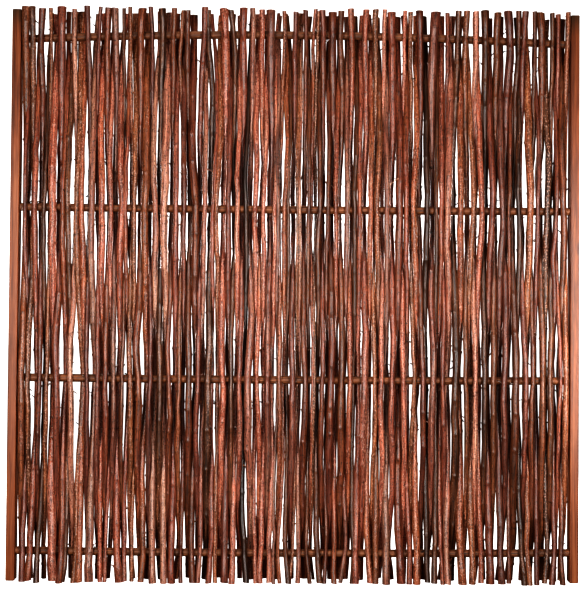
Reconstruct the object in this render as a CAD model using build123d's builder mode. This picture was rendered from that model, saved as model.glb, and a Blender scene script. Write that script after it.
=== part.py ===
from build123d import *
from dataclasses import dataclass, field
from math import exp, pi, sin, tan
import os
import random

# All sizes are in millimetres. X runs along the panel, its front faces -Y and Z is up.
# The origin is under the middle of the panel, level with the lowest rod ends.

# Posts: two sawn battens with eased edges
panel_width = 1800.0  # over the outer faces of the posts
post_length = 1800.0
post_width = 28.0  # seen from the front
post_depth = 40.0
post_foot = 4.0  # the posts start this far above the lowest rod ends
post_edge_round = 3.0
post_corner_cut = 2.5

# Rails: four round poles with a turned tenon at each end
rail_diameter = 25.0
bottom_rail_rise = 92.0  # from the post's lower end to the rail
top_rail_drop = 92.0  # from the post's upper end to the rail
inner_rail_lift = 5.0  # the two inner rails sit this far above an even spacing
rail_names = ["bottom_rail", "lower_rail", "upper_rail", "top_rail"]
rail_bows = [-5.0, -3.0, -2.0, 22.0]  # rise of each rail at mid span
tenon_diameter = 18.0
tenon_length = 15.0
tenon_clearance = 0.1
tenon_end_gap = 1.0
rail_overrun = 2.5  # drawn this far past the posts' inner faces, then sawn back to them

# Nails: one cut nail through each post into the end of each rail, its head punched below the surface
nail_width = 3.0  # across the flats of its shank
nail_length = 50.0  # under the head
nail_point = 5.0
nail_tip_width = 1.0
nail_head_width = 6.0
nail_head_thickness = 1.2
nail_punch_depth = 1.5
nail_clearance = 0.05
nail_tip_gap = 1.0

# Rods: slim shoots woven singly round the rails, one in front, the next behind
rod_pitch = 14.5  # width of opening for each rod
rod_bays = 52  # neighbouring rods are grouped in this many bays
rod_fill = 0.963  # most of the opening that the rods take up, side by side
rod_sides = 8  # flats drawn round each rod
rod_clearance = 0.3
slimmest_rod = 4.5  # radius of the slimmest rod at mid height
stoutest_rod = 9.8  # radius of the stoutest rod at mid height
girth_spread = (2.2, 2.6)  # how the rods' radii are spread between the slimmest and the stoutest
rod_tapers = (0.08, 0.22)  # how much a rod's ends differ from its mid height, as a share
unturned_chance = 0.2  # how often a rod isn't turned end for end against those before it
rod_lump = 0.04  # unevenness of a rod's radius, as a share
pair_chance = 0.07  # how often two slim rods run side by side as one
pair_slimness = 0.8
usual_foot = 2.0  # most of the lower ends are sawn off near this height
foot_unevenness = 9.0
head_drop = 3.0  # the lowest upper end is this far below the posts' upper ends
head_unevenness = 11.0

# Where each rod crosses from one face of the panel to the other, as a share of the span
end_span_crossing = 0.653  # from the inner rail to the outer rail
middle_span_crossing = 0.5

# How far the rods stray sideways where they are free to
wave_sizes = (1.0, 1.2, 2.0)
wave_lengths = (68.0, 121.0, 214.0)
own_stray = 6.0
end_stray = 5.0
depth_stray = 1.0
least_gap_weight = 0.3  # keeps a little width for the narrowest of the gaps
gap_drift = 0.3  # how much the width between two rods changes over the height, as a share
gap_drift_step = 0.9  # of a turn, in radians, from one station to the next
parting_reach = 45.0
parting_height = 190.0
parting_share = 0.7  # most of the spare width that the partings take up
parting_push = 1.0  # how far the rods lean away from a parting, as a share of its width
meeting_reach = 5  # a rod can touch this many of its neighbours

# The widest openings between rods: place along the panel, height and width
partings = [
    (-830.0, 620.0, 7.0),
    (-698.0, 560.0, 9.0),
    (-320.0, 1640.0, 16.0),
    (-290.0, 1520.0, 12.0),
    (-153.0, 385.0, 22.0),
    (314.0, 290.0, 8.0),
    (400.0, 370.0, 10.0),
    (404.0, 1240.0, 12.0),
    (525.0, 1270.0, 14.0),
    (543.0, 150.0, 12.0),
    (745.0, 1330.0, 12.0),
    (758.0, 160.0, 12.0),
]

# Bent rods: place along the panel, height of the bend and how far it steps aside
crook_reach = 60.0
crooks = [
    (545.0, 1175.0, 12.0),
    (-250.0, 640.0, 9.0),
]

opening = panel_width - 2 * post_width
post_head = post_foot + post_length
socket_depth = tenon_length + tenon_end_gap
rail_radius = rail_diameter / 2
shank_hole = nail_width + 2 * nail_clearance
head_recess = nail_head_width + 2 * nail_clearance

chance = random.Random(11)
waves = [
    [(size, length, chance.uniform(0, 2 * pi)) for size, length in zip(wave_sizes, wave_lengths)]
    for _ in range(2 * len(rail_names))
]


def rail_end_height(index):
    lowest = post_foot + bottom_rail_rise
    highest = post_head - top_rail_drop
    even = lowest + (highest - lowest) * index / (len(rail_names) - 1)
    if index in (0, len(rail_names) - 1):
        return even
    return even + inner_rail_lift


def rail_height(index, x):
    return rail_end_height(index) + rail_bows[index] * (1 - (2 * x / opening) ** 2)


def end_span_swing(share):
    # From -1 behind the inner rail to 1 before the outer rail, then straight on to the free end
    if share > 1:
        return 1 + 3 * (share - 1)
    return -1 + 3 * share**2 - share**3


def middle_span_swing(share):
    return -1 + 6 * share**2 - 4 * share**3


@dataclass
class Station:
    span: int  # 0 is the bottom span, 1 the middle one and 2 the top one
    share: float  # of the span's height, up from its lower rail
    rail: int  # the rail whose sideways strays the rods follow here
    kind: str  # crossing, rail or end

    def height(self, x):
        below = rail_height(self.span, x)
        above = rail_height(self.span + 1, x)
        return below + self.share * (above - below)

    def swing(self):
        # 1 is in front of a rail and -1 behind it, for a rod that is in front at the bottom rail
        if self.span == 0:
            return end_span_swing(1 - self.share)
        if self.span == 1:
            return middle_span_swing(self.share)
        return -end_span_swing(self.share)


@dataclass
class Rod:
    first_side: int  # 1 is in front at the bottom rail, -1 behind it
    foot: float
    head: float
    radii: list = field(default_factory=list)
    points: list = field(default_factory=list)  # (x, y, z) at each station


def place_stations():
    foot_share = -rail_end_height(0) / (rail_end_height(1) - rail_end_height(0))
    top_span = rail_end_height(3) - rail_end_height(2)
    head_share = 1 + (post_head - head_drop + head_unevenness - rail_end_height(3)) / top_span
    return [
        Station(0, foot_share, 0, "end"),
        Station(0, 0, 0, "rail"),
        Station(0, 1 - end_span_crossing, 0, "crossing"),
        Station(0, 1, 1, "rail"),
        Station(1, middle_span_crossing, 1, "crossing"),
        Station(2, 0, 2, "rail"),
        Station(2, end_span_crossing, 2, "crossing"),
        Station(2, 1, 3, "rail"),
        Station(2, head_share, 3, "end"),
    ]


def pick_rods(stations):
    count = round(opening / rod_pitch)
    middle = post_foot + post_length / 2
    rods = []
    side = 1
    lean = 0.0
    while len(rods) < count:
        side = -side
        radius = slimmest_rod + (stoutest_rod - slimmest_rod) * chance.betavariate(*girth_spread)
        members = 1
        if chance.random() < pair_chance and len(rods) < count - 1:
            members = 2
            radius *= pair_slimness
        for _ in range(members):
            # Most rods are turned end for end against those before them, to keep the weave square
            butt = -1 if lean > 0 else 1
            if chance.random() < unturned_chance:
                butt = -butt
            taper = chance.uniform(*rod_tapers)
            lean += butt * taper * radius
            foot = chance.triangular(0, foot_unevenness, usual_foot)
            head = post_head - head_drop + chance.uniform(0, head_unevenness)
            rod = Rod(side, foot, head)
            for station in stations:
                rise = (station.height(0) - middle) / (post_length / 2)
                lump = 1 + chance.uniform(-rod_lump, rod_lump)
                rod.radii.append(radius * (1 + butt * taper * rise) * lump)
            rods.append(rod)
    # The rods together fill their share of the opening where they are stoutest
    widest = max(2 * sum(radii) for radii in zip(*[rod.radii for rod in rods]))
    scale = rod_fill * opening / widest
    for rod in rods:
        rod.radii = [radius * scale for radius in rod.radii]
    return rods


def line_up(radii, weights, height):
    # The rods side by side across the opening, with the spare width shared out between them
    extra = [0.0] * len(weights)
    for x, parting_at, width in partings:
        near = max(0.0, 1 - abs(height - parting_at) / parting_height)
        gap = round((x / opening + 0.5) * len(radii))
        extra[min(max(gap, 0), len(radii))] += width * near
    spare = opening - 2 * sum(radii) - rod_clearance * len(weights)
    wanted = sum(extra)
    parted = min(1.0, parting_share * spare / wanted) if wanted else 0.0
    spare -= parted * wanted
    places = []
    edge = -opening / 2
    for index, radius in enumerate(radii):
        edge += rod_clearance + parted * extra[index] + spare * weights[index] / sum(weights)
        places.append(edge + radius)
        edge += 2 * radius
    return places


def row_gap(first, second, number):
    # From the middle of one row to the middle of the other at a rail
    return rail_diameter + 2 * rod_clearance + first.radii[number] + second.radii[number]


def least_spacing(stations, rods, rows, number, i, j):
    # How near two neighbours may come at a rail or an end without meeting anywhere up the span
    first, second = rods[i], rods[j]
    side_by_side = first.radii[number] + second.radii[number] + rod_clearance
    if first.first_side == second.first_side:
        return side_by_side
    spacings = []
    for beside in (number - 1, number + 1):
        if 0 <= beside < len(stations) and stations[beside].kind == "crossing":
            abreast = first.radii[beside] + second.radii[beside] + rod_clearance / 2
            spacing = rows[beside][j] - rows[beside][i]
            # The two must stay abreast until one is clear of the other's nearest flat
            clear = tan(pi / rod_sides) * abreast + 2 * depth_stray
            until = clear / (row_gap(first, second, number) + 2 * depth_stray)
            needed = abreast + until * (side_by_side - abreast)
            spacings.append(spacing - (spacing - needed) / until)
    return max(spacings, default=-opening)


def settle(stations, rods, rows, number, places):
    # Neighbours keep clear of each other and of the posts, first from the left and then from the right
    count = len(rods)
    for j in range(count):
        radius = rods[j].radii[number]
        places[j] = max(places[j], -opening / 2 + rod_clearance + radius)
        for i in range(max(0, j - meeting_reach), j):
            spacing = least_spacing(stations, rods, rows, number, i, j)
            places[j] = max(places[j], places[i] + spacing)
    for i in reversed(range(count)):
        radius = rods[i].radii[number]
        places[i] = min(places[i], opening / 2 - rod_clearance - radius)
        for j in range(i + 1, min(i + 1 + meeting_reach, count)):
            spacing = least_spacing(stations, rods, rows, number, i, j)
            places[i] = min(places[i], places[j] - spacing)
    return places


def stray(x, height, rail, row):
    # The sideways lean that neighbours share, and the room that they leave at a parting, which is
    # greatest at half the parting's reach from it
    shift = sum(size * sin(2 * pi * x / length + turn) for size, length, turn in waves[2 * rail + row])
    for parting_x, parting_at, width in partings:
        near = max(0.0, 1 - abs(height - parting_at) / parting_height)
        away = (x - parting_x) / parting_reach
        shift += parting_push * width * near * away * exp(0.5 - 2 * away**2)
    return shift


def lay_rods(stations, rods):
    count = len(rods)
    base_weights = [least_gap_weight + chance.expovariate(1) for _ in range(count + 1)]
    drifts = [chance.uniform(0, 2 * pi) for _ in range(count + 1)]
    own = [[chance.uniform(-own_stray, own_stray) for _ in rods] for _ in rail_names]
    rows = []
    for number, station in enumerate(stations):
        radii = [rod.radii[number] for rod in rods]
        weights = [
            weight * (1 + gap_drift * sin(drift + gap_drift_step * number))
            for weight, drift in zip(base_weights, drifts)
        ]
        rows.append(line_up(radii, weights, station.height(0)))
    for number, station in enumerate(stations):
        if station.kind == "crossing":
            continue
        height = station.height(0)
        places = []
        for index, rod in enumerate(rods):
            row = (1 - rod.first_side) // 2
            shift = stray(rows[number][index], height, station.rail, row) + own[station.rail][index]
            if station.kind == "end":
                shift += chance.uniform(-end_stray, end_stray)
            places.append(rows[number][index] + shift)
        for crook_x, crook_at, step in crooks:
            if abs(crook_at - height) < crook_reach:
                nearest = min(range(count), key=lambda i: abs(places[i] - crook_x))
                places[nearest] += step
        rows[number] = settle(stations, rods, rows, number, places)
    for index, rod in enumerate(rods):
        for number, station in enumerate(stations):
            x = rows[number][index]
            reach = rail_radius + rod_clearance + rod.radii[number]
            y = -rod.first_side * station.swing() * reach
            if station.kind == "crossing":
                y += chance.uniform(-depth_stray, depth_stray)
            rod.points.append((x, y, station.height(x)))


def trim(rod):
    # Saw the ends to length, along the last straight stretch at each end
    for end, beside, height in ((0, 1, rod.foot), (-1, -2, rod.head)):
        (x0, y0, z0), (x1, y1, z1) = rod.points[beside], rod.points[end]
        share = (height - z0) / (z1 - z0)
        rod.points[end] = (x0 + share * (x1 - x0), y0 + share * (y1 - y0), height)
        rod.radii[end] = rod.radii[beside] + share * (rod.radii[end] - rod.radii[beside])


def export(builder, name):
    builder.part.label = name
    export_step(builder.part, f"parts/{name}.step")


def build_post(side, name):
    inner = side * opening / 2
    outer = side * panel_width / 2
    with BuildPart() as post:
        with BuildSketch(Plane.XZ):
            with Locations(((inner + outer) / 2, (post_foot + post_head) / 2)):
                outline = Rectangle(post_width, post_length)
            chamfer(outline.vertices(), post_corner_cut)
        extrude(amount=post_depth / 2, both=True)
        faces = post.faces().filter_by(Axis.Y).sort_by(Axis.Y)
        fillet(faces[0].edges() + faces[-1].edges(), post_edge_round)
        heights = [rail_end_height(index) for index in range(len(rail_names))]
        with BuildSketch(Plane.YZ.offset(inner)):
            with Locations(*[(0, height) for height in heights]):
                Circle(tenon_diameter / 2 + tenon_clearance)
        extrude(amount=side * socket_depth, mode=Mode.SUBTRACT)
        with BuildSketch(Plane.YZ.offset(outer)):
            with Locations(*[(0, height) for height in heights]):
                Rectangle(shank_hole, shank_hole)
        extrude(amount=-side * post_width, mode=Mode.SUBTRACT)
        with BuildSketch(Plane.YZ.offset(outer)):
            with Locations(*[(0, height) for height in heights]):
                Rectangle(head_recess, head_recess)
        extrude(amount=-side * (nail_punch_depth + nail_head_thickness), mode=Mode.SUBTRACT)
    export(post, name)


def build_rail(index):
    end_height = rail_end_height(index)
    bow = rail_bows[index]
    half = opening / 2
    reach = half + rail_overrun
    nail_reach = nail_length + nail_tip_gap - (post_width - nail_punch_depth - nail_head_thickness)
    with BuildPart() as rail:
        with BuildLine() as run:
            ThreePointArc(
                (-reach, 0, end_height),
                (0, 0, end_height + bow),
                (reach, 0, end_height),
            )
        with BuildSketch(Plane(origin=run.line @ 0, z_dir=run.line % 0)):
            Circle(rail_radius)
        sweep()
        split(bisect_by=Plane.YZ.offset(half), keep=Keep.BOTTOM)
        split(bisect_by=Plane.YZ.offset(-half), keep=Keep.TOP)
        for side in (-1, 1):
            with BuildSketch(Plane.YZ.offset(side * half)):
                with Locations((0, end_height)):
                    Circle(tenon_diameter / 2)
            extrude(amount=side * tenon_length)
            with BuildSketch(Plane.YZ.offset(side * (half + tenon_length))):
                with Locations((0, end_height)):
                    Rectangle(shank_hole, shank_hole)
            extrude(amount=-side * (tenon_length + nail_reach), mode=Mode.SUBTRACT)
    export(rail, rail_names[index])


def build_nails():
    # One nail, its head's top at the origin and its point along -X
    under_head = -nail_head_thickness
    point_start = under_head - nail_length + nail_point
    with BuildPart() as nail:
        with BuildSketch(Plane.YZ):
            Rectangle(nail_head_width, nail_head_width)
        extrude(amount=under_head)
        with BuildSketch(Plane.YZ.offset(under_head)):
            Rectangle(nail_width, nail_width)
        extrude(amount=point_start - under_head)
        with BuildSketch(Plane.YZ.offset(point_start)):
            Rectangle(nail_width, nail_width)
        with BuildSketch(Plane.YZ.offset(point_start - nail_point)):
            Rectangle(nail_tip_width, nail_tip_width)
        loft()
    head_at = panel_width / 2 - nail_punch_depth
    heights = [rail_end_height(index) for index in range(len(rail_names))]
    with BuildPart() as nails:
        with Locations(*[Location((head_at, 0, height)) for height in heights]):
            add(nail.part)
        with Locations(*[Location((-head_at, 0, height), (0, 180, 0)) for height in heights]):
            add(nail.part)
    export(nails, "rail_nails")


def build_bay(rods, name):
    with BuildPart() as bay:
        for rod in rods:
            for (x, y, z), radius in zip(rod.points, rod.radii):
                with BuildSketch(Plane.XY.offset(z)):
                    with Locations((x, y)):
                        RegularPolygon(radius, rod_sides, major_radius=False, rotation=180 / rod_sides)
            loft(ruled=True)
    export(bay, name)


os.makedirs("parts", exist_ok=True)
build_post(-1, "left_post")
build_post(1, "right_post")
for index in range(len(rail_names)):
    build_rail(index)
build_nails()

stations = place_stations()
rods = pick_rods(stations)
lay_rods(stations, rods)
for rod in rods:
    trim(rod)
for bay in range(rod_bays):
    first = bay * len(rods) // rod_bays
    after = (bay + 1) * len(rods) // rod_bays
    build_bay(rods[first:after], f"rods_{bay + 1:02}")
print(f"{len(rods)} rods in {rod_bays} bays")
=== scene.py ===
import bmesh
import bpy
import random
from bisect import bisect_right
from math import atan2, ceil, cos, pi, radians, sin
from mathutils import Matrix, Vector, noise


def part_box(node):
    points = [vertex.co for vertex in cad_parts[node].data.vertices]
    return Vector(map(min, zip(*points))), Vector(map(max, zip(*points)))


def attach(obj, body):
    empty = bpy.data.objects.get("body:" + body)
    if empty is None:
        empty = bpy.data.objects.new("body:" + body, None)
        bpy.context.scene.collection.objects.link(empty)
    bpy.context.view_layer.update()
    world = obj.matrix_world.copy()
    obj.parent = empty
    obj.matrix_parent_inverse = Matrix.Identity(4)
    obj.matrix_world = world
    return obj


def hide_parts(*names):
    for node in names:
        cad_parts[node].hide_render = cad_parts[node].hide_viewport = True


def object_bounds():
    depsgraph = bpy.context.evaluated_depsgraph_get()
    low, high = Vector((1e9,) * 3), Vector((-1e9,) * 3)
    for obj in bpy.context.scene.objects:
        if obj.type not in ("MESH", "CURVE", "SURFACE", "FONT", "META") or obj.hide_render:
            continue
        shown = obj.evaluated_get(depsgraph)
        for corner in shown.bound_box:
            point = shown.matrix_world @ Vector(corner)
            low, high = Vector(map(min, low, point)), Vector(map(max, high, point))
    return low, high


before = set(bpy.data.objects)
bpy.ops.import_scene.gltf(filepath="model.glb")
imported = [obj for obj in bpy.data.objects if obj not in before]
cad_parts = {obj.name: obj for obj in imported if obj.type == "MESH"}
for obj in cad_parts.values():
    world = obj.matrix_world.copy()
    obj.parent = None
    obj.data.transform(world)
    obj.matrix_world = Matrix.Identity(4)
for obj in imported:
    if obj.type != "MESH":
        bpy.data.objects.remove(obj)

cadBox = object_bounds()
print("frame loaded:", len(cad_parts), "nodes")

# Helpers for the materials


def newMaterial(name, look):
    material = bpy.data.materials.new(name)
    material.use_nodes = True
    tree = material.node_tree
    tree.nodes.clear()
    output = tree.nodes.new("ShaderNodeOutputMaterial")
    shader = tree.nodes.new("ShaderNodeBsdfPrincipled")
    bump = tree.nodes.new("ShaderNodeBump")
    shader.inputs["Roughness"].default_value = look["roughness"]
    bump.inputs["Strength"].default_value = look["bump"]
    bump.inputs["Distance"].default_value = look["bumpHeight"]
    tree.links.new(bump.outputs["Normal"], shader.inputs["Normal"])
    tree.links.new(shader.outputs["BSDF"], output.inputs["Surface"])
    return material, tree, shader, bump


def attributeOf(tree, name, output="Vector"):
    node = tree.nodes.new("ShaderNodeAttribute")
    node.attribute_name = name
    return node.outputs[output]


def objectPlace(tree):
    return tree.nodes.new("ShaderNodeTexCoord").outputs["Object"]


def stretched(tree, place, stretch):
    mapping = tree.nodes.new("ShaderNodeMapping")
    mapping.inputs["Scale"].default_value = stretch
    tree.links.new(place, mapping.inputs["Vector"])
    return mapping.outputs["Vector"]


def grain(tree, place, stretch, detail=3.0, roughness=0.55, distortion=0.0):
    texture = tree.nodes.new("ShaderNodeTexNoise")
    texture.inputs["Scale"].default_value = 1.0
    texture.inputs["Detail"].default_value = detail
    texture.inputs["Roughness"].default_value = roughness
    texture.inputs["Distortion"].default_value = distortion
    tree.links.new(stretched(tree, place, stretch), texture.inputs["Vector"])
    return texture.outputs["Fac"]


def dots(tree, place, stretch, size, edge):
    # 1 inside each dot and 0 between the dots
    cells = tree.nodes.new("ShaderNodeTexVoronoi")
    cells.inputs["Scale"].default_value = 1.0
    tree.links.new(stretched(tree, place, stretch), cells.inputs["Vector"])
    return between(tree, cells.outputs["Distance"], size, size - edge)


def between(tree, value, low, high, toLow=0.0, toHigh=1.0):
    node = tree.nodes.new("ShaderNodeMapRange")
    node.inputs["From Min"].default_value = low
    node.inputs["From Max"].default_value = high
    node.inputs["To Min"].default_value = toLow
    node.inputs["To Max"].default_value = toHigh
    tree.links.new(value, node.inputs["Value"])
    return node.outputs["Result"]


def sums(tree, operation, first, second):
    node = tree.nodes.new("ShaderNodeMath")
    node.operation = operation
    for socket, value in zip(node.inputs, (first, second)):
        if isinstance(value, (int, float)):
            socket.default_value = value
        else:
            tree.links.new(value, socket)
    return node.outputs[0]


def added(tree, first, second):
    return sums(tree, "ADD", first, second)


def weighed(tree, value, share):
    return sums(tree, "MULTIPLY", value, share)


def colourBand(tree, value, stops):
    node = tree.nodes.new("ShaderNodeValToRGB")
    band = node.color_ramp
    while len(band.elements) < len(stops):
        band.elements.new(0.5)
    for element, (place, colour) in zip(band.elements, stops):
        element.position = place
        element.color = (*colour, 1.0)
    tree.links.new(value, node.inputs["Fac"])
    return node.outputs["Color"]


def layOver(tree, share, under, over, blend="MIX"):
    node = tree.nodes.new("ShaderNodeMix")
    node.data_type = "RGBA"
    node.blend_type = blend
    factor, bottom, top = node.inputs[0], node.inputs[6], node.inputs[7]  # the sockets of a colour mix
    for socket, value in ((factor, share), (bottom, under), (top, over)):
        if isinstance(value, (int, float)):
            socket.default_value = value
        elif isinstance(value, tuple):
            socket.default_value = (*value, 1.0)
        else:
            tree.links.new(value, socket)
    return node.outputs[2]


# Materials. A grain is a pattern's scale across, across and along. A range is where a layer starts and ends,
# and then how strong it is there

barkLook = {
    "shoots": [  # from the darkest, oldest bark to the palest
        (0.0, (0.024, 0.013, 0.009)),
        (0.14, (0.095, 0.038, 0.019)),
        (0.3, (0.2, 0.074, 0.033)),
        (0.46, (0.265, 0.086, 0.039)),
        (0.6, (0.275, 0.083, 0.049)),
        (0.78, (0.34, 0.143, 0.095)),
        (1.0, (0.43, 0.24, 0.16)),
    ],
    "streakGrain": (210.0, 210.0, 5.0),
    "patchGrain": (36.0, 36.0, 4.0),
    "lean": (0.3, 0.7, -0.1, 0.1),  # how far streaks and patches move the tone
    "lightness": (0.0, 1.0, 0.5, 1.35),  # each rod is a little lighter or darker than the next
    "dirt": (0.02, 0.01, 0.006),
    "dirtGrain": (95.0, 95.0, 14.0),
    "dirtRange": (0.54, 0.7, 0.0, 0.6),
    "flecks": [(0.34, (0.2, 0.15, 0.13)), (0.5, (0.88, 0.86, 0.86)), (0.66, (1.9, 2.1, 2.1))],
    "fleckGrain": (360.0, 360.0, 9.0),
    "fleckShare": 0.75,
    "poreGrain": (235.0, 235.0, 120.0),
    "poreShare": 0.85,
    "speckle": (0.56, 0.33, 0.24),  # pale lenticels
    "speckleGrain": (210.0, 210.0, 125.0),
    "speckleLean": (0.2, 0.9, -0.25, 0.25),  # some rods have many and others have hardly any
    "speckleRange": (0.42, 0.62),
    "speckleShare": 0.75,
    "scar": (0.03, 0.018, 0.013),
    "scarRange": (0.25, 1.0, 0.0, 0.8),
    "roughness": 0.37,
    "gloss": 0.48,
    "bump": 0.6,
    "bumpHeight": 0.0009,
    "bumpShares": (0.6, 0.5, 0.5),  # of streaks, lenticels and dirt
}


def makeBark():
    look = barkLook
    bark, tree, shader, bump = newMaterial("hazelBark", look)
    shader.inputs["Specular IOR Level"].default_value = look["gloss"]
    place = attributeOf(tree, "barkPlace")
    split = tree.nodes.new("ShaderNodeSeparateColor")
    tree.links.new(attributeOf(tree, "rodTone", "Color"), split.inputs["Color"])
    tone, lightness, mark = (split.outputs[name] for name in ("Red", "Green", "Blue"))
    streaks = grain(tree, place, look["streakGrain"], detail=4.0, roughness=0.6, distortion=0.4)
    patches = grain(tree, place, look["patchGrain"], roughness=0.6)
    lean = added(tree, between(tree, streaks, *look["lean"]), between(tree, patches, *look["lean"]))
    colour = colourBand(tree, added(tree, tone, lean), look["shoots"])
    shade = tree.nodes.new("ShaderNodeHueSaturation")
    tree.links.new(between(tree, lightness, *look["lightness"]), shade.inputs["Value"])
    tree.links.new(colour, shade.inputs["Color"])
    colour = shade.outputs["Color"]
    weather = grain(tree, place, look["dirtGrain"], detail=5.0, roughness=0.65)
    colour = layOver(tree, between(tree, weather, *look["dirtRange"]), colour, look["dirt"])
    flecks = grain(tree, place, look["fleckGrain"], roughness=0.6)
    fleckColour = colourBand(tree, flecks, look["flecks"])
    colour = layOver(tree, look["fleckShare"], colour, fleckColour, "MULTIPLY")
    pores = dots(tree, place, look["poreGrain"], size=0.36, edge=0.12)
    colour = layOver(tree, weighed(tree, pores, look["poreShare"]), colour, look["dirt"])
    speckled = added(tree, patches, between(tree, lightness, *look["speckleLean"]))
    lenticels = dots(tree, place, look["speckleGrain"], size=0.36, edge=0.13)
    speckle = weighed(tree, lenticels, between(tree, speckled, *look["speckleRange"]))
    colour = layOver(tree, weighed(tree, speckle, look["speckleShare"]), colour, look["speckle"])
    colour = layOver(tree, between(tree, mark, *look["scarRange"]), colour, look["scar"])
    tree.links.new(colour, shader.inputs["Base Color"])
    streakHeight, speckleHeight, dirtHeight = (
        weighed(tree, value, share) for value, share in zip((streaks, speckle, weather), look["bumpShares"]))
    height = added(tree, added(tree, streakHeight, speckleHeight), dirtHeight)
    tree.links.new(height, bump.inputs["Height"])
    return bark


cutLook = {
    "pith": (0.3, 0.17, 0.1),
    "wood": (0.62, 0.42, 0.3),
    "rim": (0.45, 0.27, 0.18),
    "mottleGrain": (320.0, 320.0, 320.0),
    "mottleStops": (0.25, 0.5, 0.75),
    "sawGrain": (160.0, 700.0, 160.0),
    "sawRange": (0.4, 0.7, 0.0, 0.4),
    "roughness": 0.75,
    "bump": 0.4,
    "bumpHeight": 0.0006,
}


def makeCutWood():
    look = cutLook
    cut, tree, shader, bump = newMaterial("cutWood", look)
    place = attributeOf(tree, "barkPlace")
    saw = grain(tree, place, look["sawGrain"], detail=2.0)
    mottle = grain(tree, place, look["mottleGrain"])
    stops = zip(look["mottleStops"], (look["pith"], look["wood"], look["rim"]))
    colour = colourBand(tree, mottle, list(stops))
    colour = layOver(tree, between(tree, saw, *look["sawRange"]), colour, look["pith"])
    tree.links.new(colour, shader.inputs["Base Color"])
    tree.links.new(saw, bump.inputs["Height"])
    return cut


postLook = {
    "dark": (0.1, 0.03, 0.012),
    "body": (0.25, 0.077, 0.027),
    "pale": (0.38, 0.145, 0.062),
    "stops": (0.37, 0.5, 0.62),
    "ringGrain": (70.0, 70.0, 1.3),
    "fibreGrain": (520.0, 520.0, 11.0),
    "grainShares": (0.6, 0.4),  # of rings and fibres
    "blotchGrain": (14.0, 14.0, 5.0),
    "blotchRange": (0.4, 0.75, 0.0, 0.45),
    "topDarkening": (0.035, 0.026, 0.012),  # darker and greyer towards the upper ends
    "topDarkeningRange": (1.74, 1.8, 0.0, 0.75),  # heights in metres
    "topDarkeningLean": (0.3, 0.7, -0.03, 0.03),
    "knot": (0.07, 0.022, 0.011),
    "knotGrain": (16.0, 16.0, 4.0),
    "knotShare": 0.8,
    "sawGrain": (6.0, 6.0, 330.0),
    "roughness": 0.45,
    "gloss": 0.3,
    "bump": 0.5,
    "bumpHeight": 0.0008,
    "bumpShares": (0.7, 0.35),  # of fibres and saw marks
}


def makePostTimber():
    look = postLook
    timber, tree, shader, bump = newMaterial("postTimber", look)
    shader.inputs["Specular IOR Level"].default_value = look["gloss"]
    place = objectPlace(tree)
    rings = grain(tree, place, look["ringGrain"], detail=2.0, roughness=0.5, distortion=0.6)
    fibres = grain(tree, place, look["fibreGrain"], roughness=0.6)
    blotches = grain(tree, place, look["blotchGrain"], roughness=0.6)
    ringShare, fibreShare = look["grainShares"]
    mixed = added(tree, weighed(tree, rings, ringShare), weighed(tree, fibres, fibreShare))
    stops = zip(look["stops"], (look["dark"], look["body"], look["pale"]))
    colour = colourBand(tree, mixed, list(stops))
    colour = layOver(tree, between(tree, blotches, *look["blotchRange"]), colour, look["dark"])
    axes = tree.nodes.new("ShaderNodeSeparateXYZ")
    tree.links.new(place, axes.inputs["Vector"])
    # the posts' colour turns darker and greyer over their top few centimetres
    topDarkening = added(tree, axes.outputs["Z"], between(tree, fibres, *look["topDarkeningLean"]))
    colour = layOver(tree, between(tree, topDarkening, *look["topDarkeningRange"]), colour, look["topDarkening"])
    knots = dots(tree, place, look["knotGrain"], size=0.11, edge=0.05)
    colour = layOver(tree, weighed(tree, knots, look["knotShare"]), colour, look["knot"])
    tree.links.new(colour, shader.inputs["Base Color"])
    sawMarks = grain(tree, place, look["sawGrain"], detail=1.0)
    fibreHeight, sawHeight = (
        weighed(tree, value, share) for value, share in zip((fibres, sawMarks), look["bumpShares"]))
    tree.links.new(added(tree, fibreHeight, sawHeight), bump.inputs["Height"])
    return timber


railLook = {
    "dark": (0.05, 0.02, 0.01),
    "body": (0.22, 0.082, 0.032),
    "pale": (0.33, 0.145, 0.065),
    "stops": (0.3, 0.52, 0.75),
    "fibreGrain": (260.0, 260.0, 10.0),
    "blotchGrain": (50.0, 50.0, 16.0),
    "blotchRange": (0.45, 0.7, 0.0, 0.7),
    "roughness": 0.6,
    "bump": 0.6,
    "bumpHeight": 0.001,
    "blotchBump": 0.6,
}


def makeRailPole():
    look = railLook
    pole, tree, shader, bump = newMaterial("railPole", look)
    place = attributeOf(tree, "barkPlace")
    fibres = grain(tree, place, look["fibreGrain"], detail=4.0, roughness=0.6, distortion=0.3)
    blotches = grain(tree, place, look["blotchGrain"], detail=4.0, roughness=0.6)
    stops = zip(look["stops"], (look["dark"], look["body"], look["pale"]))
    colour = colourBand(tree, fibres, list(stops))
    colour = layOver(tree, between(tree, blotches, *look["blotchRange"]), colour, look["dark"])
    tree.links.new(colour, shader.inputs["Base Color"])
    height = added(tree, fibres, weighed(tree, blotches, look["blotchBump"]))
    tree.links.new(height, bump.inputs["Height"])
    return pole


nailLook = {
    "steel": (0.42, 0.41, 0.4),
    "metallic": 0.8,
    "rust": (0.2, 0.09, 0.045),
    "rustGrain": (700.0, 700.0, 700.0),
    "rustRange": (0.42, 0.62),
    "roughness": 0.45,
    "bump": 0.3,
    "bumpHeight": 0.0002,
}


def makeNailSteel():
    look = nailLook
    steel, tree, shader, bump = newMaterial("nailSteel", look)
    shader.inputs["Metallic"].default_value = look["metallic"]
    rust = grain(tree, objectPlace(tree), look["rustGrain"], detail=4.0, roughness=0.65)
    colour = layOver(tree, between(tree, rust, *look["rustRange"]), look["steel"], look["rust"])
    tree.links.new(colour, shader.inputs["Base Color"])
    tree.links.new(rust, bump.inputs["Height"])
    return steel


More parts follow.
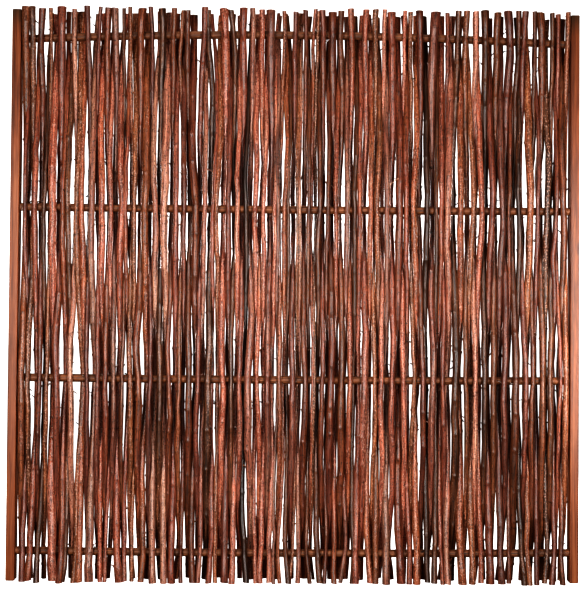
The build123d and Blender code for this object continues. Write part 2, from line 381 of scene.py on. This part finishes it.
hazelBark = makeBark()
cutWood = makeCutWood()
postTimber = makePostTimber()
railPole = makeRailPole()
nailSteel = makeNailSteel()
print("materials made")

# Helpers for the shapes

meshLook = {
    "weld": 0.00002,
    "sharpFrom": radians(50),
}


def weldedCopy(name):
    # A CAD node's mesh is loose triangles, so its copy is merged
    bm = bmesh.new()
    bm.from_mesh(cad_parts[name].data)
    bmesh.ops.remove_doubles(bm, verts=bm.verts, dist=meshLook["weld"])
    return bm


def roundBlank(bm, rings, sides, inset):
    # A new upright round bar, 1 high and 1 in radius, with so many rings and a cut face at each end
    made = bmesh.ops.create_cone(bm, cap_ends=True, segments=sides, radius1=1, radius2=1, depth=1)
    verts = made["verts"]
    # as keys of a dictionary, so that their order is the same in every run
    caps = dict.fromkeys(face for vert in verts for face in vert.link_faces if len(face.verts) == sides)
    uprights = dict.fromkeys(edge for vert in verts for edge in vert.link_edges
                             if abs(edge.verts[0].co.z - edge.verts[1].co.z) > 0.5)
    bmesh.ops.inset_individual(bm, faces=list(caps), thickness=inset)
    bmesh.ops.subdivide_edges(bm, edges=list(uprights), cuts=rings - 2)
    return [vert for vert in bm.verts if not vert.tag], caps


def ringOf(vert, rings):
    return round((vert.co.z + 0.5) * (rings - 1))


def insideBox(x, y, z):
    return Vector([min(max(value, low), high) for value, low, high in zip((x, y, z), *cadBox)])


def finishPiece(bm, name, materials, replaced):
    for vert in bm.verts:
        vert.tag = False
    bmesh.ops.recalc_face_normals(bm, faces=bm.faces)
    for face in bm.faces:
        face.smooth = True
    for edge in bm.edges:
        if len(edge.link_faces) == 2 and edge.calc_face_angle(0) > meshLook["sharpFrom"]:
            edge.smooth = False
    mesh = bpy.data.meshes.new(name)
    bm.to_mesh(mesh)
    bm.free()
    for material in materials:
        mesh.materials.append(material)
    piece = bpy.data.objects.new(name, mesh)
    bpy.context.scene.collection.objects.link(piece)
    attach(piece, "root")
    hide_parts(replaced)


# Rods: each one is read from its plain solid and grown again as a round, knotty shoot

rodLook = {
    "sides": 10,
    "darkest": 0.07,
    "toneSpread": 2.3,  # higher brings more rods to the middle of the tones
    "seeds": (0, 400),  # where in the noise a rod starts
    "grainShift": (0.37, 0.11),  # so that no two rods show the same bark
    "ringStep": 0.014,
    "fullness": {"rail": 1.16, "crossing": 1.22, "between": 1.36, "end": 1.38},  # of the plain rod's radius
    "railRadius": 0.0128,
    "postGap": 0.004,  # rods stay this far off the posts' inner faces
    "oval": 0.035,
    "ovalTwist": 3,
    "swell": 0.04,
    "swellLength": 0.08,
    "budStep": (0.035, 0.085),
    "budHeight": 0.24,
    "budTurn": radians(172),
    "budLength": 0.005,
    "budRoom": 0.008,  # the even rings stay this far off a bud
    "budPoint": 3,  # higher makes narrower buds
    "budMark": 0.7,
    "sway": 0.0011,
    "ownSway": 0.003,
    "ownSwayLength": 0.27,
    "bend": 0.0058,  # how far a rod leaves its line at each bend
    "bendStep": (0.11, 0.38),
    "bendAtCrossing": 0.25,
    "wiggle": 0.0014,
    "wiggleLength": 0.085,
    "wiggleAtCrossing": 0.4,
    "kink": 0.0017,  # how far a rod steps aside at each bud
    "endRing": 0.0045,
    "endFlare": 1.035,
    "endMark": 0.55,
    "cutSlant": 0.16,
    "barkThickness": 0.13,
    "railReach": 0.075,
    "crossReach": 0.14,
    "neighbours": 5,  # to each side
    "calm": 0.85,  # how much of the neighbours' shared bend is taken out
}
twigLook = {
    "spacing": (0.05, 0.28),
    "upwardShare": 0.7,
    "headRoom": 0.02,
    "railReach": 0.16,
    "length": (0.003, 0.016),
    "radius": (0.0009, 0.0019),
    "rootFlare": 1.4,
    "rootDepth": 0.8,  # of the rod's radius
    "skinDepth": 0.2,  # the rest of the radius, out to the bark
    "forward": (-0.9, 0.9),  # radians off the rod's side
    "lean": (35.0, 70.0),
    "toneShares": (0.6, 0.5),
    "mark": 0.45,
    "sides": 6,
}
shootLook = {
    "sides": 6,
    "steps": 8,
    "cutInset": 0.25,
    "rootDepth": 0.7,
    "shoots": [  # the ones that stand out: where each leaves its rod, its run from there and its thickness
        {"x": 0.284, "height": 1.239, "knee": (0.014, -0.004, 0.02), "tip": (0.036, -0.006, 0.032),
         "thick": (0.0016, 0.001), "tone": (1.0, 1.0)},
        {"x": 0.504, "height": 1.518, "knee": (0.01, -0.004, 0.003), "tip": (0.019, -0.005, 0.01),
         "thick": (0.001, 0.0006), "tone": (1.0, 0.9)},
        {"x": -0.166, "height": 0.362, "knee": (0.01, -0.002, -0.002), "tip": (0.013, -0.002, -0.014),
         "thick": (0.0028, 0.0012), "tone": (0.2, 0.4)},
        {"x": -0.146, "height": 0.32, "knee": (0.003, -0.002, 0.005), "tip": (0.007, -0.003, 0.013),
         "thick": (0.0045, 0.0038), "tone": (0.8, 0.8)},
        {"x": -0.352, "height": 1.6, "knee": (-0.006, 0.0, 0.02), "tip": (-0.013, 0.0, 0.043),
         "thick": (0.0042, 0.003), "tone": (0.3, 0.4)},
        {"x": -0.352, "height": 1.605, "knee": (0.004, 0.0, 0.03), "tip": (0.018, 0.0, 0.05),
         "thick": (0.0045, 0.0035), "tone": (0.3, 0.4)},
        {"x": -0.539, "height": 1.776, "knee": (-0.001, 0.0, 0.026), "tip": (0.01, 0.0, 0.032),
         "thick": (0.0018, 0.001), "tone": (0.25, 0.3)},
        {"x": 0.782, "height": 1.776, "knee": (0.001, 0.0, 0.014), "tip": (-0.001, 0.0, 0.032),
         "thick": (0.0016, 0.0007), "tone": (0.2, 0.3)},
    ],
}
rodNames = sorted(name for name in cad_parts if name.startswith("rods_"))
railNames = ["bottom_rail", "lower_rail", "upper_rail", "top_rail"]
opening = (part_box("left_post")[1].x + rodLook["postGap"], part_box("right_post")[0].x - rodLook["postGap"])
chance = random.Random(7)


def islandsOf(bm):
    left = set(bm.verts)
    while left:
        island, front = set(), [left.pop()]
        while front:
            vert = front.pop()
            island.add(vert)
            for edge in vert.link_edges:
                other = edge.other_vert(vert)
                if other in left:
                    left.discard(other)
                    front.append(other)
        yield island


def readRods(name):
    # Each rod as stations from the foot up: (height, x, y, radius)
    bm = weldedCopy(name)
    rods = []
    for island in islandsOf(bm):
        levels = {}
        for vert in island:
            levels.setdefault(round(vert.co.z, 4), []).append(vert.co)
        rod = []
        for height in sorted(levels):
            xs = [co.x for co in levels[height]]
            ys = [co.y for co in levels[height]]
            middle = ((min(xs) + max(xs)) / 2, (min(ys) + max(ys)) / 2)
            rod.append((height, *middle, (max(xs) - min(xs)) / 2))
        rods.append(rod)
    bm.free()
    return sorted(rods, key=lambda rod: rod[0][1])


def calmWaves(line):
    # Neighbours bend alike in the plain model. What they share is taken out, so each rod wanders by itself
    look = rodLook
    offLine = []
    for rod in line:
        (foot, footX, _, _), (head, headX, _, _) = rod[0], rod[-1]
        offLine.append([x - footX - (headX - footX) * (height - foot) / (head - foot)
                        for height, x, _, _ in rod])
    for i, rod in enumerate(line):
        near = offLine[max(0, i - look["neighbours"]):i + look["neighbours"] + 1]
        for k, (height, x, y, radius) in enumerate(rod):
            shared = sum(values[k] for values in near) / len(near)
            rod[k] = (height, x - look["calm"] * shared, y, radius)


def slopesOf(heights, values, free):
    # Slopes of a line that eases through its points. One that isn't free never swings past them
    spans = [after - before for before, after in zip(heights, heights[1:])]
    steps = [(after - before) / span for before, after, span in zip(values, values[1:], spans)]
    slopes = [steps[0]]
    for before, after in zip(steps, steps[1:]):
        if free:
            slopes.append((before + after) / 2)
        else:
            slopes.append(2 * before * after / (before + after) if before * after > 0 else 0.0)
    return slopes + [steps[-1]]


def eased(heights, values, slopes, height):
    i = 0
    while i < len(heights) - 2 and height > heights[i + 1]:
        i += 1
    span = heights[i + 1] - heights[i]
    t = (height - heights[i]) / span
    rise = t * t * (3 - 2 * t)
    return (values[i] + (values[i + 1] - values[i]) * rise
            + span * t * (1 - t) * (slopes[i] * (1 - t) - slopes[i + 1] * t))


def standsOff(rod, shoot):
    # How far a rod is from a shoot's foot. One at the back counts as further off
    _, x, y, _ = min(rod, key=lambda station: abs(station[0] - shoot["height"]))
    return abs(x - shoot["x"]) + max(0.0, y)


def nearness(height, places, reach):
    return max(0.0, 1 - min(abs(height - place) for place in places) / reach)


def placesAlong(foot, head, step):
    places, at = [], foot + chance.uniform(*step)
    while at < head - step[0]:
        places.append(at)
        at += chance.uniform(*step)
    return places


def brokenLine(joints, values, height):
    i = bisect_right(joints, height, 1, len(joints) - 1)
    share = (height - joints[i - 1]) / (joints[i] - joints[i - 1])
    return values[i - 1] + (values[i] - values[i - 1]) * share


def ringHeights(foot, head, buds):
    look = rodLook
    count = ceil((head - foot) / look["ringStep"])
    heights = [foot + (head - foot) * i / count for i in range(count + 1)]
    for bud in buds:
        heights = [h for h in heights if abs(h - bud) > look["budRoom"] or h in (foot, head)]
        heights += [bud - look["budLength"], bud, bud + look["budLength"]]
    return sorted([*heights, foot + look["endRing"], head - look["endRing"]])


def growRod(bm, layers, rod):
    look = rodLook
    heights = [station[0] for station in rod]
    lines = [[station[k] for station in rod] for k in (1, 2, 3)]
    slopes = [slopesOf(heights, line, k == 0) for k, line in enumerate(lines)]
    rails, crossings = heights[1:8:2], heights[2:7:2]
    foot, head = heights[0], heights[-1]
    spread = look["toneSpread"]
    share = look["darkest"] + (1 - look["darkest"]) * chance.betavariate(spread, spread)
    tone = (share, chance.random())
    seed = chance.uniform(*look["seeds"])
    buds = placesAlong(foot, head, look["budStep"])
    levels = ringHeights(foot, head, buds)
    joints = [foot, *buds, head]
    kinks = [Vector((chance.uniform(-1, 1), chance.uniform(-1, 1))) for _ in joints]
    bends = [foot, *placesAlong(foot, head, look["bendStep"]), head]
    strays = [chance.uniform(-1, 1) for _ in bends]
    turn = chance.uniform(0, 2 * pi)
    slants = [chance.uniform(0, look["cutSlant"]) for _ in range(2)]
    slantTurns = [chance.uniform(0, 2 * pi) for _ in range(2)]
    rings = []
    for height in levels:
        x, y, radius = (eased(heights, line, slope, height) for line, slope in zip(lines, slopes))
        free = 1 - nearness(height, rails, look["railReach"])
        apart = 1 - nearness(height, crossings, look["crossReach"])
        own = noise.noise(Vector((seed, 0.0, height / look["ownSwayLength"])))
        deep = noise.noise(Vector((0.0, seed, height / look["ownSwayLength"])))
        wiggle = noise.noise(Vector((seed, seed, height / look["wiggleLength"])))
        kink = brokenLine(joints, kinks, height)
        stray = brokenLine(bends, strays, height)
        bendHold, wiggleHold = look["bendAtCrossing"], look["wiggleAtCrossing"]
        x += (look["ownSway"] * own + look["bend"] * stray) * (bendHold + (1 - bendHold) * apart)
        x += (look["wiggle"] * wiggle + look["kink"] * kink.x) * (wiggleHold + (1 - wiggleHold) * apart)
        y += (look["sway"] * deep + look["kink"] * kink.y) * free
        swell = 1 + look["swell"] * noise.noise(Vector((seed, seed, height / look["swellLength"])))
        full = look["fullness"]["between"]
        full += (look["fullness"]["rail"] - full) * (1 - free)
        full += (look["fullness"]["crossing"] - full) * (1 - apart)
        beyond = max(rails[0] - height, height - rails[-1], 0.0) / (rails[0] - foot)
        full += (look["fullness"]["end"] - full) * min(beyond, 1.0)
        # a stouter rod stays as far off the rails as the plain one
        y *= 1 + (full * swell - 1) * radius / (look["railRadius"] + radius)
        radius *= full * swell
        if height in (foot, head):
            radius *= look["endFlare"]
        reach = radius * (1 + look["oval"])
        x = min(max(x, opening[0] + reach), opening[1] - reach)
        y = min(max(y, cadBox[0].y + reach), cadBox[1].y - reach)
        budTurn = None
        if height in buds:
            budTurn = turn + buds.index(height) * look["budTurn"]
        rings.append((height, x, y, radius, budTurn))
    place, shade = layers
    verts, caps = roundBlank(bm, len(levels), look["sides"], look["barkThickness"])
    for vert in verts:
        vert.tag = True
        ring = ringOf(vert, len(levels))
        height, x, y, radius, budTurn = rings[ring]
        around = atan2(vert.co.y, vert.co.x)
        out = Vector((vert.co.x, vert.co.y))
        mark = 0.0 if budTurn is None else max(0.0, cos(around - budTurn)) ** look["budPoint"]
        oval = look["oval"] * sin(2 * around + turn + height * look["ovalTwist"])
        wide = radius * (1 + oval + look["budHeight"] * mark)
        low = 0.0
        for at, way, slant, slantTurn in zip((0, len(levels) - 1), (1, -1), slants, slantTurns):
            if ring == at:
                low = way * slant * radius * (1 + cos(around - slantTurn)) * out.length
                mark = look["endMark"]
        vert.co = insideBox(x + wide * out.x, y + wide * out.y, height + low)
        shiftX, shiftY = (seed * shift for shift in look["grainShift"])
        vert[place] = Vector((wide * out.x + shiftX, wide * out.y + shiftY, height + seed))
        vert[shade] = Vector((*tone, mark * look["budMark"], 1.0))
    for face in caps:
        face.material_index = 1
    growTwigs(bm, layers, rings, rails, tone, seed)
    for shoot in shootLook["shoots"]:
        if shoot["rod"] is rod:
            growShoot(bm, layers, rings, shoot, seed)


def growTwigs(bm, layers, rings, rails, tone, seed):
    look = twigLook
    place, shade = layers
    upward = 1 if chance.random() < look["upwardShare"] else -1
    at = rings[0][0] + chance.uniform(*look["spacing"])
    while at < rings[-1][0] - look["headRoom"]:
        height, x, y, radius, _ = min(rings, key=lambda ring: abs(ring[0] - at))
        at += chance.uniform(*look["spacing"])
        if nearness(height, rails, look["railReach"]) <= 0:
            continue
        length = chance.uniform(*look["length"])
        thick = chance.uniform(*look["radius"])
        side = chance.choice((0, pi)) + chance.uniform(*look["forward"])
        lean = radians(chance.uniform(*look["lean"]))
        along = Vector((cos(side) * sin(lean), sin(side) * sin(lean), upward * cos(lean)))
        deep = look["rootDepth"] * radius
        root = Vector((x + deep * cos(side), y + deep * sin(side), height))
        tip = root + along * (length + look["skinDepth"] * radius)
        if not (cadBox[0].y + thick < tip.y < cadBox[1].y - thick):
            continue
        upright = along.to_track_quat("Z", "Y").to_matrix().to_4x4()
        longer = Matrix.Diagonal((1, 1, (tip - root).length, 1))
        made = bmesh.ops.create_cone(
            bm, cap_ends=True, segments=look["sides"], radius1=thick * look["rootFlare"], radius2=thick,
            depth=1, matrix=Matrix.Translation((root + tip) / 2) @ upright @ longer)
        for vert in made["verts"]:
            vert.tag = True
            vert[place] = vert.co - root + Vector((seed, seed, seed))
            darker = [value * share for value, share in zip(tone, look["toneShares"])]
            vert[shade] = Vector((*darker, look["mark"], 1.0))


def growShoot(bm, layers, rings, shoot, seed):
    # A longer side shoot that bends once, from its rod to its cut or broken tip
    look = shootLook
    place, shade = layers
    steps = look["steps"]
    height, x, y, radius, _ = min(rings, key=lambda ring: abs(ring[0] - shoot["height"]))
    root = Vector((x, y - look["rootDepth"] * radius, height))
    knee, tip = (root + Vector(run) for run in (shoot["knee"], shoot["tip"]))
    verts, caps = roundBlank(bm, steps, look["sides"], look["cutInset"])
    for vert in verts:
        vert.tag = True
        t = ringOf(vert, steps) / (steps - 1)
        middle = root.lerp(knee, t).lerp(knee.lerp(tip, t), t)
        along = (knee - root).lerp(tip - knee, t).normalized()
        aside = along.cross(Vector((0, 1, 0))).normalized()
        wide = shoot["thick"][0] + (shoot["thick"][1] - shoot["thick"][0]) * t
        out = (aside * vert.co.x + along.cross(aside) * vert.co.y) * wide
        vert.co = insideBox(*(middle + out))
        vert[place] = vert.co - root + Vector((seed, seed, seed))
        vert[shade] = Vector((*shoot["tone"], 0.0, 1.0))
    for face in caps:
        face.material_index = 1


rods = {name: readRods(name) for name in rodNames}
everyRod = [rod for group in rods.values() for rod in group]
calmWaves(sorted(everyRod, key=lambda rod: rod[4][1]))  # in order at the middle crossing
for shoot in shootLook["shoots"]:
    shoot["rod"] = min(everyRod, key=lambda rod: standsOff(rod, shoot))
for name in rodNames:
    bm = bmesh.new()
    layers = (bm.verts.layers.float_vector.new("barkPlace"), bm.verts.layers.float_color.new("rodTone"))
    for rod in rods[name]:
        growRod(bm, layers, rod)
    finishPiece(bm, "hazel_" + name, [hazelBark, cutWood], name)
print("rods grown:", len(everyRod))

# Rails: round poles that aren't quite even, with their tenons inside the posts

poleLook = {
    "sides": 20,
    "ringStep": 0.012,
    "firmness": 0.992,  # of the solid's radius
    "uneven": 0.012,
    "unevenLength": 0.06,
    "outerSkin": 0.0118,  # a point this far off the middle is on the pole and not on a tenon
    "shoulderReach": 0.0005,
    "tenonFrom": 0.002,
    "leastBow": 0.0005,
    "seedStep": 1.7,
}


def measurePole(name):
    # Half the length between the shoulders, the height there, the bow, and the radii of pole and tenon
    look = poleLook
    low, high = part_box(name)
    bm = weldedCopy(name)
    half = max(vert.co.x for vert in bm.verts if abs(vert.co.y) > look["outerSkin"])
    shoulder = [vert.co.z for vert in bm.verts if abs(vert.co.x - half) < look["shoulderReach"]]
    tenon = [vert.co.z for vert in bm.verts if vert.co.x > half + look["tenonFrom"]]
    bm.free()
    endZ = (min(shoulder) + max(shoulder)) / 2
    radius = (max(shoulder) - min(shoulder)) / 2
    bow = high.z - radius - endZ
    if bow <= look["leastBow"]:
        bow = low.z + radius - endZ
    return half, endZ, bow, radius, (max(tenon) - min(tenon)) / 2


def shapePole(name):
    look = poleLook
    half, endZ, bow, radius, tenonRadius = measurePole(name)
    bm = bmesh.new()
    layer = bm.verts.layers.float_vector.new("barkPlace")
    rings = ceil(2 * half / look["ringStep"])
    verts, caps = roundBlank(bm, rings, look["sides"], 1 - tenonRadius / radius)
    seed = len(name) * look["seedStep"]
    for vert in verts:
        x = -half + 2 * half * ringOf(vert, rings) / (rings - 1)
        middle = endZ + bow * (1 - (x / half) ** 2)
        out = Vector((vert.co.x, vert.co.y))
        around = Vector((out.x, out.y, 0)).normalized()
        lump = noise.noise(Vector((around.x, around.y, x / look["unevenLength"] + seed)))
        onSkin = out.length > 0.99
        wide = radius * look["firmness"] * (1 + look["uneven"] * lump * onSkin)
        vert.co = Vector((x, wide * out.x, middle + wide * out.y))
        vert[layer] = Vector((wide * out.x, wide * out.y, x + seed))
    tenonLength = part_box(name)[1].x - half
    for face in list(caps):
        side = 1 if face.calc_center_median().x > 0 else -1
        grown = bmesh.ops.extrude_discrete_faces(bm, faces=[face])["faces"]
        ends = list({vert for tenon in grown for vert in tenon.verts})
        bmesh.ops.translate(bm, verts=ends, vec=(side * tenonLength, 0, 0))
    finishPiece(bm, "pole_" + name, [railPole], name)


for name in railNames:
    shapePole(name)
print("rails shaped")

# Posts and nails keep their solids

for name, material in (("left_post", postTimber), ("right_post", postTimber), ("rail_nails", nailSteel)):
    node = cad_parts[name]
    node.data.materials.clear()
    node.data.materials.append(material)
print("posts and nails finished")

# Studio: pale floor, white surroundings, soft boxes in front, behind and above, and a lamp for each post

studioLook = {
    "floor": (0.86, 0.86, 0.86),
    "floorSize": 60.0,
    "floorRoughness": 0.9,
    "floorGlow": 0.75,
    "fill": 0.017,
    "fillColour": (1.0, 0.9, 0.85),
    "backdrop": 1.0,
    "white": (1.0, 1.0, 1.0),
    "cameraPlace": (-0.0535, -3.6, 0.8285),
    "cameraTurn": (91.2087, -0.4445, -0.7900),
    "lens": 69.15,
    "lights": [  # name, place, aim, width, height, spread in degrees, watts
        ("leftBox", (-1.3, -3.3, 1.0), (0.0, 0.0, 0.9), 0.45, 0.9, 90, 17.2),
        ("rightBox", (1.3, -3.3, 0.9), (0.0, 0.0, 0.88), 0.45, 0.9, 90, 16.2),
        ("frontBox", (0.0, -3.4, 1.2), (0.0, 0.0, 0.9), 0.6, 1.4, 180, 14.0),
        ("backLeftBox", (-2.2, 3.1, 1.3), (0.0, 0.0, 0.86), 0.6, 0.9, 90, 21.0),
        ("backRightBox", (2.2, 3.1, 1.3), (0.0, 0.0, 0.86), 0.6, 0.9, 90, 21.0),
        ("overheadBox", (0.0, -0.5, 3.6), (0.0, 0.0, 1.8), 1.8, 0.4, 120, 10.0),
        ("leftPostLamp", (-1.14, -1.1, 0.84), (-1.14, 0.0, 0.84), 0.08, 1.2, 60, 0.8),
        ("rightPostLamp", (1.18, -1.1, 0.84), (1.18, 0.0, 0.84), 0.08, 1.05, 60, 3.5),
    ],
}


def layFloor():
    look = studioLook
    bpy.ops.mesh.primitive_plane_add(size=look["floorSize"], location=(0, 0, 0))
    studioFloor = bpy.context.object
    studioFloor.name = "studioFloor"
    studioFloor.visible_diffuse = False
    studioFloor.visible_glossy = False
    paper = bpy.data.materials.new("floorPaper")
    paper.use_nodes = True
    surface = paper.node_tree.nodes["Principled BSDF"].inputs
    surface["Base Color"].default_value = (*look["floor"], 1)
    surface["Roughness"].default_value = look["floorRoughness"]
    surface["Emission Color"].default_value = (*look["white"], 1)
    surface["Emission Strength"].default_value = look["floorGlow"]
    studioFloor.data.materials.append(paper)


def fillAir():
    # The camera sees white, and the object is lit only faintly from all round
    look = studioLook
    world = bpy.data.worlds.new("studioAir")
    world.use_nodes = True
    bpy.context.scene.world = world
    tree = world.node_tree
    tree.nodes.clear()
    output = tree.nodes.new("ShaderNodeOutputWorld")
    mix = tree.nodes.new("ShaderNodeMixShader")
    fill = tree.nodes.new("ShaderNodeBackground")
    seen = tree.nodes.new("ShaderNodeBackground")
    path = tree.nodes.new("ShaderNodeLightPath")
    fill.inputs["Strength"].default_value = look["fill"]
    fill.inputs["Color"].default_value = (*look["fillColour"], 1)
    seen.inputs["Strength"].default_value = look["backdrop"]
    seen.inputs["Color"].default_value = (*look["white"], 1)
    tree.links.new(path.outputs["Is Camera Ray"], mix.inputs[0])
    tree.links.new(fill.outputs[0], mix.inputs[1])
    tree.links.new(seen.outputs[0], mix.inputs[2])
    tree.links.new(mix.outputs[0], output.inputs[0])


def hangLight(name, place, aim, width, height, spread, watts):
    lamp = bpy.data.lights.new(name, "AREA")
    lamp.shape = "RECTANGLE"
    lamp.size, lamp.size_y, lamp.energy = width, height, watts
    lamp.spread = radians(spread)
    holder = bpy.data.objects.new(name, lamp)
    holder.location = place
    holder.rotation_euler = (Vector(aim) - Vector(place)).to_track_quat("-Z", "Y").to_euler()
    holder.visible_camera = False
    bpy.context.scene.collection.objects.link(holder)


def setCamera():
    look = studioLook
    scene = bpy.context.scene
    camera = bpy.data.cameras.new("frontCamera")
    camera.lens = look["lens"]
    holder = bpy.data.objects.new("frontCamera", camera)
    holder.location = look["cameraPlace"]
    holder.rotation_euler = [radians(angle) for angle in look["cameraTurn"]]
    scene.collection.objects.link(holder)
    scene.camera = holder
    scene.view_settings.view_transform = "Standard"
    scene.view_settings.look = "Very High Contrast"


layFloor()
fillAir()
for light in studioLook["lights"]:
    hangLight(*light)
setCamera()
print("studio set")
